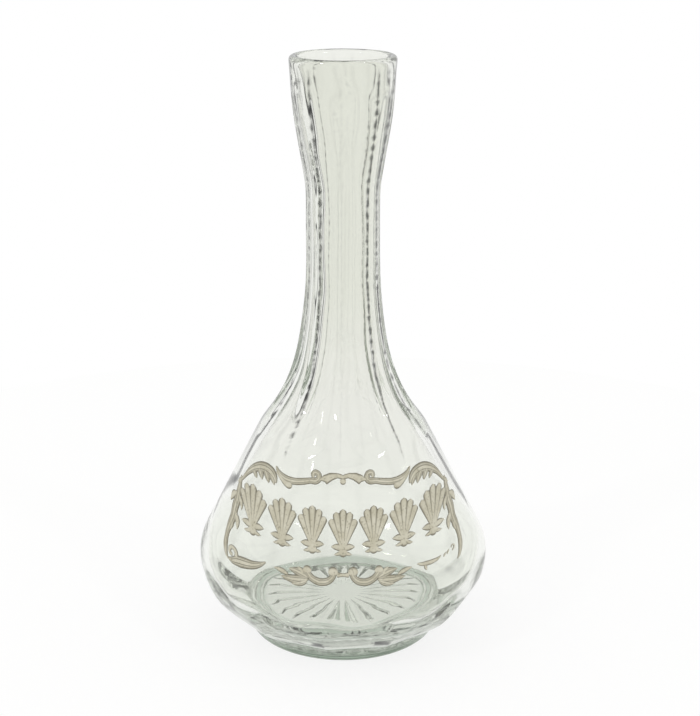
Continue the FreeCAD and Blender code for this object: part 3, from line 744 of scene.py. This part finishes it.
# ---- Studio ----------------------------------------------------------------
# The bottle stands on a disc of white paper that is lit from below as well, in a white room.
# Dark bars round the room, seen only through the glass, draw the edges of its flats.
floor_radius = 0.32
floor_corners = 96
floor_gap = 0.00005         # keeps the paper just clear of the foot
floor_mesh = bpy.data.meshes.new("floor")
angle = np.linspace(0, 2 * math.pi, floor_corners, endpoint=False)
disc = np.stack([floor_radius * np.cos(angle), floor_radius * np.sin(angle),
                 np.full_like(angle, -floor_gap)], 1)
floor_mesh.from_pydata(disc.tolist(), [], [list(range(floor_corners))])
floor = bpy.data.objects.new("floor", floor_mesh)
bpy.context.scene.collection.objects.link(floor)

# Matt white paper over a light table: the eye, straight or through the glass, sees an even
# glow, and the light that falls on it for the rest is scattered.
paper = bpy.data.materials.new("white_paper_floor")
tree = blank_tree(paper)
ray_kind = add(tree, "ShaderNodeLightPath")
straight = add(tree, "ShaderNodeMath", [("operation", "MAXIMUM")],
               [(0, ray_kind.outputs["Is Camera Ray"]),
                (1, ray_kind.outputs["Is Transmission Ray"])])
by_eye = add(tree, "ShaderNodeMath", [("operation", "MAXIMUM")],
             [(0, straight.outputs[0]), (1, ray_kind.outputs["Is Glossy Ray"])])
glow_share = add(tree, "ShaderNodeMath", [("operation", "MULTIPLY"), (1, 0.8)],
                 [(0, by_eye.outputs[0])])
matt_paper = add(tree, "ShaderNodeBsdfDiffuse", [("Color", linear("#F2F2F0"))])
glow = add(tree, "ShaderNodeEmission", [("Color", (1, 1, 1, 1)), ("Strength", 1.04)])
lit_paper = add(tree, "ShaderNodeMixShader",
                links=[(0, glow_share.outputs[0]), (1, matt_paper.outputs[0]),
                       (2, glow.outputs[0])])
add(tree, "ShaderNodeOutputMaterial", links=[("Surface", lit_paper.outputs[0])])
floor_mesh.materials.append(paper)

world = bpy.data.worlds.new("studio")
bpy.context.scene.world = world
tree = blank_tree(world)
ray_kind = add(tree, "ShaderNodeLightPath")
heading = add(tree, "ShaderNodeTexCoord")
heading_axes = add(tree, "ShaderNodeSeparateXYZ", links=[(0, heading.outputs["Generated"])])

# eight dark bars round the room, and a ceiling that is darker than the walls by a quarter
bearing = add(tree, "ShaderNodeMath", [("operation", "ARCTAN2")],
              [(0, heading_axes.outputs["X"]), (1, heading_axes.outputs["Y"])])
eight_turns = add(tree, "ShaderNodeMath", [("operation", "MULTIPLY"), (1, 8.0)],
                  [(0, bearing.outputs[0])])
eight_waves = add(tree, "ShaderNodeMath", [("operation", "COSINE")],
                  [(0, eight_turns.outputs[0])])
bars = add(tree, "ShaderNodeMapRange",
           [("From Min", -0.98), ("From Max", -0.70), ("To Min", 0.05), ("To Max", 1.0)],
           [("Value", eight_waves.outputs[0])])
ceiling = add(tree, "ShaderNodeMapRange",
              [("From Min", 0.25), ("From Max", 0.60), ("To Min", 1.0), ("To Max", 0.75)],
              [("Value", heading_axes.outputs["Z"])])
barred = add(tree, "ShaderNodeMath", [("operation", "MULTIPLY")],
             [(0, bars.outputs[0]), (1, ceiling.outputs[0])])

# the bars show only to light that the glass has both bent and mirrored: the camera sees white
both_kinds = add(tree, "ShaderNodeMath", [("operation", "MINIMUM")],
                 [(0, ray_kind.outputs["Glossy Depth"]),
                  (1, ray_kind.outputs["Transmission Depth"])])
turned = add(tree, "ShaderNodeMath", [("operation", "GREATER_THAN"), (1, 0.5)],
             [(0, both_kinds.outputs[0])])
by_glass = add(tree, "ShaderNodeMix", [("data_type", "FLOAT"), (2, 1.0)],
               [(0, turned.outputs[0]), (3, barred.outputs[0])])
from_glass = add(tree, "ShaderNodeMath", [("operation", "MAXIMUM")],
                 [(0, ray_kind.outputs["Is Glossy Ray"]),
                  (1, ray_kind.outputs["Is Transmission Ray"])])
by_room = add(tree, "ShaderNodeMix", [("data_type", "FLOAT"), (2, 0.85)],
              [(0, from_glass.outputs[0]), (3, by_glass.outputs[0])])
brightness = add(tree, "ShaderNodeMix", [("data_type", "FLOAT"), (3, 1.0)],
                 [(0, ray_kind.outputs["Is Camera Ray"]), (2, by_room.outputs[0])])
backdrop = add(tree, "ShaderNodeBackground", [("Color", (1, 1, 1, 1))],
               [("Strength", brightness.outputs[0])])
add(tree, "ShaderNodeOutputWorld", links=[("Surface", backdrop.outputs[0])])

# two narrow upright lamps, in metres and watts, aimed at the middle of the bottle
aim = Vector((0, 0, 0.1))
for name, spot, size, power in (
        ("window", (-0.72, -0.62, 0.80), (0.06, 0.14), 1.2),
        ("fill", (0.86, -0.70, 0.95), (0.08, 0.12), 1.2)):
    lamp = bpy.data.lights.new(name, "AREA")
    lamp.shape = "RECTANGLE"
    lamp.size, lamp.size_y = size
    lamp.energy = power
    holder = bpy.data.objects.new(name, lamp)
    holder.location = spot
    holder.rotation_euler = (aim - holder.location).to_track_quat("-Z", "Y").to_euler()
    bpy.context.scene.collection.objects.link(holder)

# ---- Camera ----------------------------------------------------------------
# The camera stands 0.59 m off and looks down by 17.9 degrees.  Its focal length and its
# shift were found in pixels of the photograph, whose longer side is 716 of them.
picture_side = 716.0
focal_pixels = 1539.9
shift_pixels = 7.0
look_down = 17.949
lens = bpy.data.cameras.new("camera")
lens.sensor_width = 36.0
lens.lens = focal_pixels * lens.sensor_width / picture_side
lens.shift_x = shift_pixels / picture_side
camera = bpy.data.objects.new("camera", lens)
camera.location = (0.0, -0.5234, 0.2723)
camera.rotation_euler = (math.radians(90.0 - look_down), 0.0, 0.0)
bpy.context.scene.collection.objects.link(camera)
bpy.context.scene.camera = camera
bpy.context.scene.view_settings.view_transform = "Standard"

# light that is caught in the walls turns many times before it gets out
bpy.context.scene.cycles.max_bounces = 32
bpy.context.scene.cycles.transmission_bounces = 24
bpy.context.scene.cycles.glossy_bounces = 24
